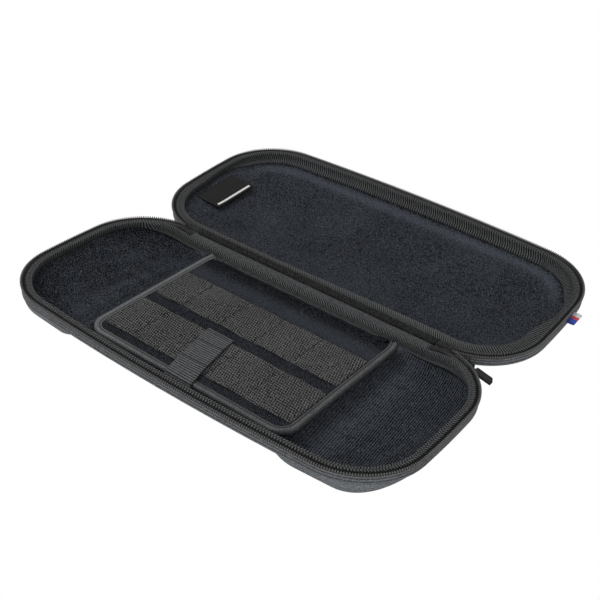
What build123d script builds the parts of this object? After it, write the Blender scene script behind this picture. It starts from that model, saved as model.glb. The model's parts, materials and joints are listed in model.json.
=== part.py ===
from build123d import *

import math
import os

# A zipped clamshell case for a handheld console, lying open with its card flap down.
# X runs along the hinge, Y from the base towards the lid, Z up. Millimetres.
# Everything is drawn with the parting plane, where the two zip halves meet, at Z 0,
# and is moved at the end so that the origin is the bottom centre of the open case.

# Plan of each half, at the outside of its rim
LENGTH = 300.0
WIDTH = 139.0
CORNER_R = 46.0
FRONT_BOW = 6.0
END_BOW = 3.2

# Moulded shells, depths counted from the parting plane
WALL = 4.0
FLANGE_DEPTH = 7.4
FLANGE_STEP = 0.8
LEDGE_DEPTH = 6.2
BASE_DEPTH = 22.0
MID_DEPTH = 14.0
MID_RUN = 12.0
FLOOR_RUN = 7.0
LID_DEPTH = 22.7
LID_SHOULDER_DEPTH = 15.5
LID_SHOULDER_INSET = 22.0
LID_SHOULDER_R = 34.0
LID_CROWN_W = 35.0
LID_CROWN_R = 14.0

# Two deep pods at the ends of the base, with the shallow waist between them
POD_LENGTH = 78.0
POD_WAIST_RUN = 16.0
POD_SIDE_RUN = 10.2
POD_END_RUN = 24.0
POD_FLOOR_SIDE_RUN = 8.4
POD_FLOOR_END_RUN = 35.0
POD_WAIST_R = 14.0
POD_FOOT_R = 9.0
POD_MID_DROP = 0.69
POD_MID_SIDE = 0.49
POD_MID_END = 0.48
POD_MID_CORNER = 0.63

# Hinge side: a steep straight wall, whose rim is cut lower on the base
HINGE_DROP = 4.6
RELIEF_END = 52.0
RELIEF_RAMP = 14.0
RELIEF_REACH = 16.0
SPINE_ROUND = 4.0
LID_SPINE_DEPTH = 12.0
HINGE_OUT = 1.65
HINGE_UP = -1.9

# Cloth layers on the shells
LINING_T = 0.8
BINDING_T = 1.8
BACK_BAND = 3.9
STRIP_T = 0.8
STRIP_LAP = 5.2
STRIP_DIP = 4.2
SEAT_GAP = 0.1

# Zip
COIL_W = 2.0
COIL_H = 2.0
COIL_OVERHANG = 0.7
MESH_GAP = 0.3
TAPE_T = 1.0
TAIL_LENGTH = 22.4
TAIL_T = 1.4
TAIL_TOP = 5.5
TAIL_H = 5.5
SLIDER_LENGTH = 8.0
SLIDER_H = 8.0
SLIDER_T = 4.8
SLIDER_PLATE = 1.5
LUG_WALL = 0.6
PIN_R = 0.9
PIN_CLEARANCE = 0.25
PULL_LENGTH = 12.0
PULL_W = 5.6
PULL_T = 1.8
PULL_EYE_WALL = 0.9
PULL_CUT = 30.0
PULL_DROOP = 13.0

# Card flap
FLAP_LENGTH = 153.5
FLAP_CENTRE_X = 4.75
FLAP_FRONT_INSET = 13.0
FLAP_REAR_INSET = 16.5
FLAP_CORNER_R = 12.0
FLAP_GAP = 0.6
BOARD_T = 1.6
COVER_T = 0.6
FLAP_BINDING_W = 5.0
FLAP_BINDING_T = 0.5
FLAP_STRIP_T = 0.8
FLAP_AXIS_BACK = 5.0
FLAP_AXIS_DEPTH = 4.0
BAND_W = 34.0
BAND_T = 0.9
FRONT_BAND_BACK = 27.7
REAR_BAND_BACK = 71.5
TAB_W = 20.0
TAB_T = 1.0
TAB_REAR_X = -4.0
TAB_FRONT_X = 5.2
TAB_LENGTH = 45.0
TAB_DROP = 4.4

# Sewn-on label and tag of the lid
LABEL_LENGTH = 40.0
LABEL_W = 21.0
LABEL_T = 0.7
LABEL_INSET = 13.0
LABEL_Y = 8.0
TAG_W = 12.0
TAG_OUT = 5.4
TAG_T = 1.2
TAG_DEPTH = 4.7
TAG_Y = -11.5

POD_START = LENGTH / 2 - POD_LENGTH
LID_CROWN_INSET = (WIDTH - LID_CROWN_W) / 2
RELIEF_HALF = LENGTH / 2 - RELIEF_END
FLAP_FRONT_Y = FLAP_FRONT_INSET - WIDTH / 2
FLAP_REAR_Y = WIDTH / 2 - FLAP_REAR_INSET
RIM_TOP = -(COIL_H + MESH_GAP / 2)
TAPE_TOP = RIM_TOP + TAPE_T
BACK_RIM = -HINGE_DROP
OVERCUT = 3.0
LINED = WALL + LINING_T
BOUND = LINED + BINDING_T
ZIP_HALF = RELIEF_HALF + RELIEF_RAMP
HINGE_Y = WIDTH / 2 + HINGE_OUT
HINGE_AXIS = Axis((0, HINGE_Y, HINGE_UP), (1, 0, 0))


def lid_open_angle():
    """Angle from shut to the pose in which the near edge of the lid's crown meets the table."""
    axis_height = HINGE_UP + BASE_DEPTH
    crown_height = LID_DEPTH - HINGE_UP
    crown_reach = HINGE_OUT + LID_CROWN_INSET
    radius = math.hypot(crown_height, crown_reach)
    tilt = math.degrees(math.acos(axis_height / radius) - math.atan2(crown_reach, crown_height))
    return 180 - tilt


OPEN_ANGLE = lid_open_angle()


def opened(solid):
    """A piece drawn like the base's own, mirrored to the lid and swung open."""
    return mirror(solid, about=Plane.XY).rotate(HINGE_AXIS, -OPEN_ANGLE)


def opened_point(y, z):
    """The same move for a point in the YZ plane."""
    turn = math.radians(-OPEN_ANGLE)
    dy = y - HINGE_Y
    dz = -z - HINGE_UP
    return (
        HINGE_Y + dy * math.cos(turn) - dz * math.sin(turn),
        HINGE_UP + dy * math.sin(turn) + dz * math.cos(turn),
    )


def outline(inset, corner=None, end_inset=None):
    """Plan of a half with a straight hinge side, bowed front and ends and round corners, drawn in by inset."""
    x = LENGTH / 2 - END_BOW - (inset if end_inset is None else end_inset)
    back = WIDTH / 2 - inset
    front = FRONT_BOW + inset - WIDTH / 2
    sides = [
        ThreePointArc((x, front), (x + END_BOW, 0), (x, back)),
        Line((x, back), (-x, back)),
        ThreePointArc((-x, back), (-x - END_BOW, 0), (-x, front)),
        ThreePointArc((-x, front), (0, front - FRONT_BOW), (x, front)),
    ]
    face = make_face(sides)
    return fillet(face.vertices(), corner or CORNER_R - inset)


def slab(inset, low, high):
    """Straight wall of the plan between two heights."""
    return Pos(0, 0, low) * extrude(outline(inset), high - low)


def ring(outer_inset, inner_inset, low, high):
    """Band between two insets of the plan."""
    return slab(outer_inset, low, high) - slab(inner_inset, low, high)


def back_zone(half_length, low, high):
    """Block over the hinge side of the rim."""
    block = Box(2 * half_length, 2 * RELIEF_REACH, high - low)
    return Pos(0, WIDTH / 2, (low + high) / 2) * block


def hinge_relief():
    """Cutter that lowers the rim along the hinge, with a ramp at each end."""
    top = HINGE_DROP
    wide = RELIEF_HALF + RELIEF_RAMP * (top + HINGE_DROP) / (HINGE_DROP + RIM_TOP)
    corners = [(-wide, top), (-RELIEF_HALF, BACK_RIM), (RELIEF_HALF, BACK_RIM), (wide, top)]
    profile = make_face(Polyline(*corners, close=True))
    return Pos(0, WIDTH / 2, 0) * extrude(Plane.XZ * profile, RELIEF_REACH, both=True)


def spine(inset, depth):
    """Steep wall under the lowered rim, down to the given depth."""
    zone = Pos(0, WIDTH / 2) * Rectangle(2 * (RELIEF_HALF - inset), 2 * RELIEF_REACH)
    block = Pos(0, 0, -depth) * extrude(outline(inset) & zone, depth + RIM_TOP)
    if inset > 0:
        return block
    foot = block.edges().group_by(Axis.Z)[0].sort_by(Axis.Y)[-1]
    return fillet(foot, SPINE_ROUND)


def pod_section(inset, along_side, along_end, corner_share):
    """Plan of the right-hand pod, part of the way down its sloping walls."""
    side_run = POD_FLOOR_SIDE_RUN if inset > 0 else POD_SIDE_RUN
    end_run = POD_FLOOR_END_RUN if inset > 0 else POD_END_RUN
    left = POD_START + inset / 2 + POD_WAIST_RUN * along_side
    side = FLANGE_STEP + inset + side_run * along_side
    end = FLANGE_STEP + inset + end_run * along_end
    foot_r = min(POD_FOOT_R, (LENGTH / 2 - END_BOW - end - left) / 2.5)
    rim_r = CORNER_R - FLANGE_STEP - inset
    outer_r = rim_r + (foot_r - rim_r) * corner_share
    inner_r = POD_WAIST_R + (foot_r - POD_WAIST_R) * corner_share
    half_plane = Pos(left + LENGTH / 2, 0) * Rectangle(LENGTH, 2 * WIDTH)
    face = outline(side, outer_r, end) & half_plane
    return fillet(face.vertices().sort_by(Axis.X)[:2], inner_r)


def pod(inset, turn):
    """Deep rounded end of the base: steep at front and back, longer and lower towards the end."""
    depth = BASE_DEPTH - inset
    middle = turn + (depth - turn) * POD_MID_DROP
    return loft([
        Pos(0, 0, -turn) * pod_section(inset, 0, 0, 0),
        Pos(0, 0, -middle) * pod_section(inset, POD_MID_SIDE, POD_MID_END, POD_MID_CORNER),
        Pos(0, 0, -depth) * pod_section(inset, 1, 1, 1),
    ])


def base_form(inset, turn, top):
    """Outside of the base, or the hollow that a wall of the given thickness leaves."""
    run = FLOOR_RUN if inset > 0 else MID_RUN
    dish = loft([
        Pos(0, 0, -turn) * outline(inset + FLANGE_STEP),
        Pos(0, 0, -(MID_DEPTH - inset)) * outline(inset + run),
    ])
    right_pod = pod(inset, turn)
    left_pod = mirror(right_pod, about=Plane.YZ)
    return slab(inset, -turn, top) + dish + right_pod + left_pod + spine(inset, MID_DEPTH - inset)


def lid_form(inset, turn, top):
    """Outside of the lid as a bowl below the parting plane, or its hollow."""
    dome = loft([
        Pos(0, 0, -turn) * outline(inset + FLANGE_STEP),
        Pos(0, 0, -(LID_SHOULDER_DEPTH - inset)) * outline(inset + LID_SHOULDER_INSET, LID_SHOULDER_R - inset),
        Pos(0, 0, -(LID_DEPTH - inset)) * outline(LID_CROWN_INSET, LID_CROWN_R),
    ])
    return slab(inset, -turn, top) + dome + spine(inset, LID_SPINE_DEPTH - inset)


def shell(form):
    """Moulded shell with an open top."""
    return form(0, FLANGE_DEPTH, RIM_TOP) - form(WALL, LEDGE_DEPTH, RIM_TOP + OVERCUT)


def lining(form):
    """Fleece bonded to the inside of a shell."""
    outer = form(WALL, LEDGE_DEPTH, RIM_TOP)
    return outer - form(LINED, LEDGE_DEPTH - LINING_T, RIM_TOP + OVERCUT)


def zip_tape():
    """Woven tape lying on the rim of the three zipped sides."""
    tape = ring(COIL_W - COIL_OVERHANG, LINED, RIM_TOP, TAPE_TOP)
    return tape - back_zone(ZIP_HALF, RIM_TOP, TAPE_TOP)


def zip_coil():
    """One half of the zip's coil, a bead along the outer edge of the tape."""
    bead = ring(-COIL_OVERHANG, COIL_W - COIL_OVERHANG, RIM_TOP, RIM_TOP + COIL_H)
    return bead - back_zone(ZIP_HALF, RIM_TOP, RIM_TOP + COIL_H)


def rim_binding(back_low):
    """Binding tape round the inside of the rim, lower along the hinge."""
    low = -(LEDGE_DEPTH - LINING_T)
    band = ring(LINED, BOUND, low, TAPE_TOP)
    return band + (ring(LINED, BOUND, back_low, low) & back_zone(RELIEF_HALF - BOUND, back_low, low))


def strip_side(lap, rim):
    """Upper and lower line of the hinge strip on one rim, from its lap to the groove."""
    start = WIDTH / 2 - lap
    near = WIDTH / 2 + SEAT_GAP
    far = near + STRIP_T
    upper = [(start, rim + STRIP_T), (far, rim + STRIP_T), (far, rim - STRIP_DIP + STRIP_T)]
    lower = [(start, rim), (near, rim), (near, rim - STRIP_DIP)]
    return upper, lower


def hinge_strip():
    """Cloth strip over both hinge rims, folded into the groove between the shells."""
    upper, lower = strip_side(STRIP_LAP, BACK_RIM)
    lid_upper, lid_lower = strip_side(LINED - SEAT_GAP, RIM_TOP)
    section = upper
    section += [opened_point(*p) for p in reversed(lid_upper)]
    section += [opened_point(*p) for p in lid_lower]
    section += list(reversed(lower))
    face = make_face(Polyline(*section, close=True))
    return extrude(Plane.YZ * face, RELIEF_HALF - SEAT_GAP, both=True)


def flap_plan(grow, front, rear):
    """Plan of the flap with round front corners."""
    face = Pos(FLAP_CENTRE_X, (front + rear) / 2) * Rectangle(FLAP_LENGTH + 2 * grow, rear - front)
    return fillet(face.vertices().sort_by(Axis.Y)[:2], FLAP_CORNER_R + grow)


def flap_layer(low, thickness):
    """One sheet of the flap's board and covers."""
    plan = flap_plan(0, FLAP_FRONT_Y, FLAP_REAR_Y)
    return Pos(0, 0, low) * extrude(plan, thickness)


def flap_inside():
    """Plan of the flap's open face between its bindings."""
    return flap_plan(-FLAP_BINDING_W, FLAP_FRONT_Y + FLAP_BINDING_W, FLAP_REAR_Y + FLAP_BINDING_W)


def flap_edge_binding(low, thickness):
    """Binding folded over the left, front and right edges of the flap."""
    edge_t = FLAP_BINDING_T
    around = flap_plan(edge_t, FLAP_FRONT_Y - edge_t, FLAP_REAR_Y)
    wrap = Pos(0, 0, low - edge_t) * extrude(around - flap_inside(), thickness + 2 * edge_t)
    return wrap - flap_layer(low, thickness)


def card_band(back, low):
    """Elastic band sewn across the flap, between its side bindings."""
    strip = Pos(FLAP_CENTRE_X, FLAP_FRONT_Y + back) * Rectangle(FLAP_LENGTH, BAND_W)
    return Pos(0, 0, low) * extrude(strip & flap_inside(), BAND_T)


def pull_tab(low):
    """Ribbon that lies askew on the front band and hangs over the flap's front edge."""
    edge = FLAP_FRONT_Y - FLAP_BINDING_T - SEAT_GAP
    front = edge - TAB_T
    rear = FLAP_FRONT_Y + TAB_LENGTH
    half = TAB_W / 2
    corners = [
        (TAB_REAR_X - half, rear), (TAB_REAR_X + half, rear),
        (TAB_FRONT_X + half, edge), (TAB_FRONT_X + half, front),
        (TAB_FRONT_X - half, front), (TAB_FRONT_X - half, edge),
    ]
    sheet = Pos(0, 0, low) * extrude(make_face(Polyline(*corners, close=True)), TAB_T)
    fall = Box(TAB_W, TAB_T, TAB_DROP)
    return sheet + Pos(TAB_FRONT_X, edge - TAB_T / 2, low + TAB_T - TAB_DROP / 2) * fall


def flap_strip(top):
    """Cloth that joins the flap's rear edge to the back wall."""
    length = FLAP_LENGTH - 2 * FLAP_CORNER_R
    width = WIDTH / 2 - FLAP_REAR_Y
    strip = Pos(FLAP_CENTRE_X, FLAP_REAR_Y + width / 2) * Rectangle(length, width)
    return Pos(0, 0, top - FLAP_STRIP_T) * extrude(strip & outline(BOUND), FLAP_STRIP_T)


def zip_tail():
    """Joined ends of the zip tapes, standing in the gap beside the hinge strip."""
    block = Box(TAIL_LENGTH, TAIL_T, TAIL_H)
    return Pos(RELIEF_HALF + TAIL_LENGTH / 2, HINGE_Y, -TAIL_TOP - TAIL_H / 2) * block


SLIDER_RIGHT = RELIEF_HALF + TAIL_LENGTH + SEAT_GAP + SLIDER_PLATE
SLIDER_Z = -TAIL_TOP - TAIL_H / 2
EYE_R = PIN_R + PIN_CLEARANCE + PULL_EYE_WALL
PIN_OUT = EYE_R + PIN_CLEARANCE
LUG_LENGTH = PIN_OUT + PIN_R + LUG_WALL
LUG_GAP = SLIDER_T - 2 * SLIDER_PLATE
PIN_PLACE = Pos(SLIDER_RIGHT + PIN_OUT, HINGE_Y, SLIDER_Z)


def zip_slider():
    """Slider parked on the tail, with a lug and a cross pin for the pull."""
    middle = Pos(SLIDER_RIGHT - SLIDER_LENGTH / 2, HINGE_Y, SLIDER_Z)
    body = middle * Box(SLIDER_LENGTH, SLIDER_T, SLIDER_H)
    body = fillet(body.edges().filter_by(Axis.Y), SLIDER_PLATE)
    slot = Box(SLIDER_LENGTH, TAIL_T + 2 * SEAT_GAP, SLIDER_H)
    body -= middle * Pos(-SLIDER_PLATE, 0, 0) * slot
    lug_h = 2 * (PIN_R + LUG_WALL)
    lug_place = Pos(SLIDER_RIGHT + LUG_LENGTH / 2, HINGE_Y, SLIDER_Z)
    lug = lug_place * (Box(LUG_LENGTH, SLIDER_T, lug_h) - Box(LUG_LENGTH, LUG_GAP, lug_h))
    pin = PIN_PLACE * Rot(90, 0, 0) * Cylinder(PIN_R, SLIDER_T)
    return body + lug + pin


def zip_pull():
    """Flat strap with an eye round the slider's pin and a slanting end."""
    bore = PIN_R + PIN_CLEARANCE
    eye_w = LUG_GAP - 2 * PIN_CLEARANCE
    eye = Rot(90, 0, 0) * Cylinder(EYE_R, eye_w)
    start = LUG_LENGTH
    neck = Pos((bore + start) / 2, 0, 0) * Box(start - bore, eye_w, PULL_T)
    strap = Pos(start + PULL_LENGTH / 2, 0, 0) * Box(PULL_LENGTH, PULL_W, PULL_T)
    cutter = Box(2 * PULL_W, 4 * PULL_W, 2 * PULL_T)
    strap -= Pos(start + PULL_LENGTH, 0, 0) * Rot(0, 0, PULL_CUT) * Pos(PULL_W, 0, 0) * cutter
    whole = eye + neck + strap - Rot(90, 0, 0) * Cylinder(bore, PULL_W)
    return PIN_PLACE * Rot(0, PULL_DROOP, 0) * whole


def lid_label():
    """Woven label lying on the lining at the left end of the lid."""
    turn = LEDGE_DEPTH - LINING_T
    skin = lid_form(LINED, turn, RIM_TOP) - lid_form(LINED + LABEL_T, turn - LABEL_T, RIM_TOP + OVERCUT)
    x = -LENGTH / 2 + LABEL_INSET + LABEL_W / 2
    return skin & (Pos(x, LABEL_Y, -LID_DEPTH / 2) * Box(LABEL_W, LABEL_LENGTH, LID_DEPTH))


def stripe_tag():
    """Small folded ribbon standing out of the lid's right end."""
    block = Box(TAG_OUT, TAG_W, TAG_T)
    block = fillet(block.edges().filter_by(Axis.Y).sort_by(Axis.X)[-2:], TAG_T * 0.45)
    return Pos(LENGTH / 2 + TAG_OUT / 2, TAG_Y, -TAG_DEPTH) * block


def flap_nodes():
    """The card flap, layer by layer from its lowest face up."""
    low = -(MID_DEPTH - LINED) + FLAP_GAP + FLAP_BINDING_T
    stack = 2 * COVER_T + BOARD_T
    top = low + stack
    return {
        "flap_bottom_cover": flap_layer(low, COVER_T),
        "flap_board": flap_layer(low + COVER_T, BOARD_T),
        "flap_top_cover": flap_layer(low + COVER_T + BOARD_T, COVER_T),
        "flap_binding": flap_edge_binding(low, stack),
        "card_band_front": card_band(FRONT_BAND_BACK, top),
        "card_band_rear": card_band(REAR_BAND_BACK, top),
        "pull_tab": pull_tab(top + BAND_T),
        "flap_hinge_strip": flap_strip(top),
    }


def all_nodes():
    """Every piece of the open case, with the parting plane at Z 0."""
    cut = hinge_relief()
    nodes = {
        "base_shell": shell(base_form) - cut,
        "base_lining": lining(base_form) - cut,
        "base_zip_tape": zip_tape(),
        "base_zip_coil": zip_coil(),
        "base_binding": rim_binding(BACK_RIM - BACK_BAND) - cut,
        "lid_shell": opened(shell(lid_form)),
        "lid_lining": opened(lining(lid_form)),
        "lid_zip_tape": opened(zip_tape()),
        "lid_zip_coil": opened(zip_coil()),
        "lid_binding": opened(rim_binding(-(LID_SPINE_DEPTH - LINED))),
        "lid_label": opened(lid_label()),
        "stripe_tag": opened(stripe_tag()),
        "hinge_strip": hinge_strip(),
        "zip_tail": zip_tail(),
        "zip_slider": zip_slider(),
        "zip_pull": zip_pull(),
    }
    nodes.update(flap_nodes())
    return nodes


nodes = all_nodes()
box = Compound(list(nodes.values())).bounding_box()
to_table = Pos(-box.center().X, -box.center().Y, -box.min.Z)

os.makedirs("parts", exist_ok=True)
for name, solid in nodes.items():
    export_step(to_table * solid, f"parts/{name}.step")

for label, place in {
    "shift of the origin": Pos(0, 0, 0),
    "lid hinge axis": Pos(0, HINGE_Y, HINGE_UP),
    "flap hinge axis": Pos(0, FLAP_REAR_Y + FLAP_AXIS_BACK, -FLAP_AXIS_DEPTH),
    "pull pin": PIN_PLACE,
}.items():
    print(label, (to_table * place).position)
print("open angle", OPEN_ANGLE)
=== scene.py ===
"""Looks of the open console case: cloth, zip, bindings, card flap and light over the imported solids."""

import json
import math

import bmesh
import bpy
import numpy as np
from mathutils import Matrix, Vector
from mathutils.bvhtree import BVHTree


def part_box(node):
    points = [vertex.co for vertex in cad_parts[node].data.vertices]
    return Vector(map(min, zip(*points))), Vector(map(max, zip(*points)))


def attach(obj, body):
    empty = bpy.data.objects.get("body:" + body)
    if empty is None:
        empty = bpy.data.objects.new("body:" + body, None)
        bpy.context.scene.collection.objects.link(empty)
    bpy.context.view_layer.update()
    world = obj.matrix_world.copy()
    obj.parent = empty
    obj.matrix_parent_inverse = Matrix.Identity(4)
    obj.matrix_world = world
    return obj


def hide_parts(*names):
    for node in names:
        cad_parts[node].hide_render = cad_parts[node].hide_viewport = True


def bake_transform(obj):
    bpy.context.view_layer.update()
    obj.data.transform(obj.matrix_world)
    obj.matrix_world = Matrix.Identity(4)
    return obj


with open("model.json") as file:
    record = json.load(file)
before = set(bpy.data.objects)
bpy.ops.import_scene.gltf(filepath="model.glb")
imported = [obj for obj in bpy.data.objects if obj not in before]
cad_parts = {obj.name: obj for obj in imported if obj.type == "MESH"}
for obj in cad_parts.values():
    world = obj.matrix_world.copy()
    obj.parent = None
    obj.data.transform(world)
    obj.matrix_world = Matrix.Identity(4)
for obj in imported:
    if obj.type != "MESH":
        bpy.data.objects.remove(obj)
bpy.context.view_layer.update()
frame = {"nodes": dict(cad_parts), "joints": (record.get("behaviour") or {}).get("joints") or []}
nodes = frame["nodes"]

# Sizes in millimetres, as the solids have them, with the zip's parting plane at Z 0
LENGTH, WIDTH, CORNER_R = 300.0, 139.0, 46.0
FRONT_BOW, END_BOW = 6.0, 3.2
BASE_DEPTH = 22.0
BACK_RIM, RELIEF_HALF, RELIEF_RAMP, RELIEF_REACH = -4.6, 98.0, 14.0, 16.0
RIM_TOP, TAPE_TOP, LEDGE = -2.15, -1.15, -5.4
ZIP_HALF = RELIEF_HALF + RELIEF_RAMP
HINGE_Y, HINGE_UP = WIDTH / 2 + 1.65, -1.9
FLAP_X, FLAP_HALF, FLAP_FRONT, FLAP_REAR, FLAP_R = 4.75, 76.75, -56.5, 53.0, 12.0
FLAP_LEFT, FLAP_RIGHT = FLAP_X - FLAP_HALF, FLAP_X + FLAP_HALF
FLAP_LOW, FLAP_TOP = -8.1, -5.3
FRONT_BAND, REAR_BAND = -28.8, 15.0
BAND_W, REAR_BAND_W = 34.0, 31.4
POCKET_SEAMS = (-44.5, -14.0, 14.0, 43.6)
TAB_TOP, TAB_HALF = FLAP_TOP + 1.25, 10.0
LABEL_LENGTH, LABEL_WIDTH = 40.0, 21.0
PULL_PIN = np.array((RELIEF_HALF + 26.3, HINGE_Y, -8.25))
OPEN_ANGLE = -next(j for j in frame["joints"] if j["name"] == "lid_hinge")["range_deg"][0]
UP = np.array((0.0, 0.0, 1.0))
WHITE = (1, 1, 1, 1)

base_low, base_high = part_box("base_shell")
SHIFT = np.array((
    (base_low.x + base_high.x) * 500,
    (base_low.y + base_high.y) * 500,
    base_low.z * 1000 + BASE_DEPTH,
))


# Placing

def row(points):
    """Drawn millimetres to the frame's metres."""
    return (np.asarray(points, float) + SHIFT) / 1000


def drawn(points):
    """The frame's metres to drawn millimetres."""
    return np.asarray(points, float) * 1000 - SHIFT


def lid_turn():
    """Cosine and sine of the lid's turn from shut to open."""
    turn = math.radians(-OPEN_ANGLE)
    return math.cos(turn), math.sin(turn)


def to_lid(points):
    """A point drawn like the base's own, mirrored to the lid and swung open."""
    p = np.array(points, float)
    c, s = lid_turn()
    dy, dz = p[..., 1] - HINGE_Y, -p[..., 2] - HINGE_UP
    p[..., 1] = HINGE_Y + dy * c - dz * s
    p[..., 2] = HINGE_UP + dy * s + dz * c
    return p


def from_lid(points):
    """The way back."""
    p = np.array(points, float)
    c, s = lid_turn()
    dy, dz = p[..., 1] - HINGE_Y, p[..., 2] - HINGE_UP
    p[..., 1] = HINGE_Y + dy * c + dz * s
    p[..., 2] = -(HINGE_UP - dy * s + dz * c)
    return p


def half_plan(inset):
    """End of the straight hinge side, and the arcs from there round the +X end to the front's middle."""
    x, r = LENGTH / 2 - END_BOW - inset, CORNER_R - inset
    back, front = WIDTH / 2 - inset, FRONT_BOW + inset - WIDTH / 2
    half, end_y = (back - front) / 2, (back + front) / 2
    reach = (half ** 2 - END_BOW ** 2 - end_y ** 2) / (2 * END_BOW)
    end_x, end_r = x - reach, math.hypot(reach, half)
    front_r = (x ** 2 + FRONT_BOW ** 2) / (2 * FRONT_BOW)
    front_y = front - FRONT_BOW + front_r
    back_fy = back - r
    back_fx = end_x + math.sqrt((end_r - r) ** 2 - (back_fy - end_y) ** 2)
    apart = math.hypot(end_x, end_y - front_y)
    along_line = ((front_r - r) ** 2 - (end_r - r) ** 2 + apart ** 2) / (2 * apart)
    off = math.sqrt((front_r - r) ** 2 - along_line ** 2)
    ux, uy = end_x / apart, (end_y - front_y) / apart
    front_fx, front_fy = min(
        ((ux * along_line - uy * off * k, front_y + uy * along_line + ux * off * k) for k in (1, -1)),
        key=lambda c: c[1] - c[0],
    )
    turn_a = math.atan2(back_fy - end_y, back_fx - end_x)
    turn_b = math.atan2(front_fy - end_y, front_fx - end_x)
    turn_c = math.atan2(front_fy - front_y, front_fx)
    arcs = (
        (back_fx, back_fy, r, math.pi / 2, turn_a),
        (end_x, end_y, end_r, turn_a, turn_b),
        (front_fx, front_fy, r, turn_b, turn_c),
        (0.0, front_y, front_r, turn_c, -math.pi / 2),
    )
    return back_fx, back, arcs


def half_breaks():
    """Shares of the half outline at which its straight side and its arcs end."""
    straight, _, arcs = half_plan(0)
    lengths = np.cumsum([straight] + [r * (start - end) for _, _, r, start, end in arcs])
    return np.concatenate(((0,), lengths / lengths[-1]))


BREAKS = half_breaks()


def plan(inset, w):
    """Points of the plan drawn in by inset. W runs 0 to 4 from the back's middle by +X, front and -X."""
    w = np.asarray(w, float) % 4
    v = np.where(w <= 2, w, 4 - w) / 2
    straight, back, arcs = half_plan(inset)
    x, y = straight * np.clip(v / BREAKS[1], 0, 1), np.full(v.shape, back)
    for k, (cx, cy, r, start, end) in enumerate(arcs):
        low, high = BREAKS[k + 1], BREAKS[k + 2]
        turn = start + (end - start) * np.clip((v - low) / (high - low), 0, 1)
        x = np.where(v > low, cx + r * np.cos(turn), x)
        y = np.where(v > low, cy + r * np.sin(turn), y)
    return np.stack((np.where(w > 2, -x, x), y), -1)


LOOP_W = np.linspace(0, 4, 8001)
LOOP_S = np.concatenate(((0,), np.cumsum(np.linalg.norm(np.diff(plan(0, LOOP_W), axis=0), axis=1))))


def stations(start, end, pitch):
    """Evenly spaced W between two lengths along the rim, and those lengths."""
    s = np.linspace(start, end, max(2, round((end - start) / pitch) + 1))
    return np.interp(s, LOOP_S, LOOP_W), s


def from_hinge(s):
    """Length along the rim from the middle of the hinge side, by the shorter way."""
    return np.minimum(s, LOOP_S[-1] - s)


def zip_span():
    """Lengths along the rim at which the zip's tape starts and ends."""
    half = LOOP_W[np.argmin(np.abs(plan(0, LOOP_W[:2000])[:, 0] - ZIP_HALF))]
    start = np.interp(half, LOOP_W, LOOP_S)
    return start, LOOP_S[-1] - start


ZIP_START, ZIP_END = zip_span()


def relief(x, y):
    """Height to which the rim is cut along the hinge, far above it elsewhere."""
    slope = (RIM_TOP - BACK_RIM) / RELIEF_RAMP
    cut = BACK_RIM + np.clip(np.abs(x) - RELIEF_HALF, 0, None) * slope
    return np.where(y > WIDTH / 2 - RELIEF_REACH, cut, 99)


def ease(t):
    """Smooth rise from 0 to 1."""
    t = np.clip(t, 0, 1)
    return t * t * (3 - 2 * t)


def mixed(a, b, share):
    """Rows of values from a to b by the share of each place."""
    share = share[:, None]
    return np.asarray(a, float) * (1 - share) + np.asarray(b, float) * share


def spread(*parts):
    """Coordinates of every row and column from parts that may give only one of the two."""
    return np.stack(np.broadcast_arrays(*parts), -1)


def waves(points, size, seed):
    """Smooth small unevenness between about -1 and 1, the same in every run."""
    draws = np.random.default_rng(seed)
    total = 0
    for _ in range(5):
        direction = draws.normal(size=points.shape[-1])
        direction *= draws.uniform(0.6, 1.6) * 2 * math.pi / size / np.linalg.norm(direction)
        total = total + np.sin(points @ direction + draws.uniform(0, 6.28))
    return total / 3.2


def ripple(s, size, seed):
    """Unevenness along a line."""
    return waves(np.stack((s, s * 0), -1), size, seed)


def along(points):
    """Lengths along a line of points."""
    return np.concatenate(((0,), np.cumsum(np.linalg.norm(np.diff(points, axis=0), axis=1))))


def rounded(points, step, passes=2):
    """A broken line with its corners worn round, resampled at even steps."""
    p = np.asarray(points, float)
    for _ in range(passes):
        q = np.empty((2 * len(p), p.shape[1]))
        q[0], q[-1] = p[0], p[-1]
        q[1:-1:2], q[2:-1:2] = p[:-1] * 0.75 + p[1:] * 0.25, p[:-1] * 0.25 + p[1:] * 0.75
        p = q
    s = along(p)
    t = np.linspace(0, s[-1], max(3, round(s[-1] / step) + 1))
    return np.stack([np.interp(t, s, p[:, k]) for k in range(p.shape[1])], -1)


def thicken(line, thickness):
    """A closed loop round a plane line, half the thickness on each side."""
    d = np.gradient(line, axis=0)
    normal = np.stack((-d[:, 1], d[:, 0]), -1) / np.linalg.norm(d, axis=1)[:, None]
    loop = np.concatenate((line + normal * thickness / 2, (line - normal * thickness / 2)[::-1]))
    return np.concatenate((loop, loop[:1]))


# Building pieces

def shown(name, mesh, material, body, replaces=()):
    """Puts a finished mesh into the scene. Body is None for cloth that spans a joint, which stays unattached.
    """
    mesh.materials.append(material)
    piece = bpy.data.objects.new(name, mesh)
    bpy.context.scene.collection.objects.link(piece)
    if body:
        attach(piece, body)
    if replaces:
        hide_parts(*replaces)
    return piece


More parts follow.
